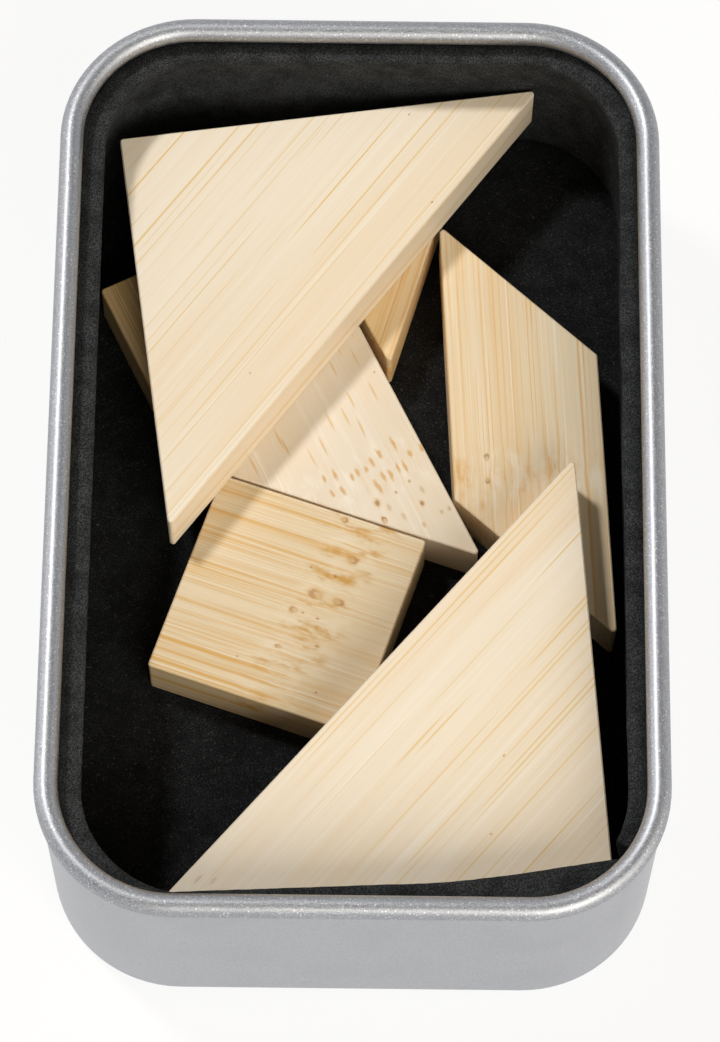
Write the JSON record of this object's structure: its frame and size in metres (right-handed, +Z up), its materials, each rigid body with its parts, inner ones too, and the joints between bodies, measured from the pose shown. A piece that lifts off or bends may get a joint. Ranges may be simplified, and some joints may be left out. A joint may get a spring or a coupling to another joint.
{
  "type": "tangram puzzle",
  "caption": "Wooden tangram pieces lying in two layers in a lidless rounded metal tin lined with black foam.",
  "frame": {"origin": "centre of the tin's underside, on the surface that it stands on", "axes": "+X across the tin, +Y along it away from the viewer, +Z up out of the open mouth"},
  "size_m": [0.071, 0.112, 0.032],
  "materials": {
    "tin": "satin",
    "foam": "matte",
    "wood": "satin"
  },
  "bodies": {
    "root": {"tin_base": "tin", "foam_floor_pad": "foam", "foam_wall_strip": "foam", "medium_triangle": "wood", "square": "wood", "small_triangle_left": "wood", "small_triangle_back": "wood", "parallelogram": "wood", "large_triangle_far": "wood", "large_triangle_near": "wood"}
  },
  "joints": []
}
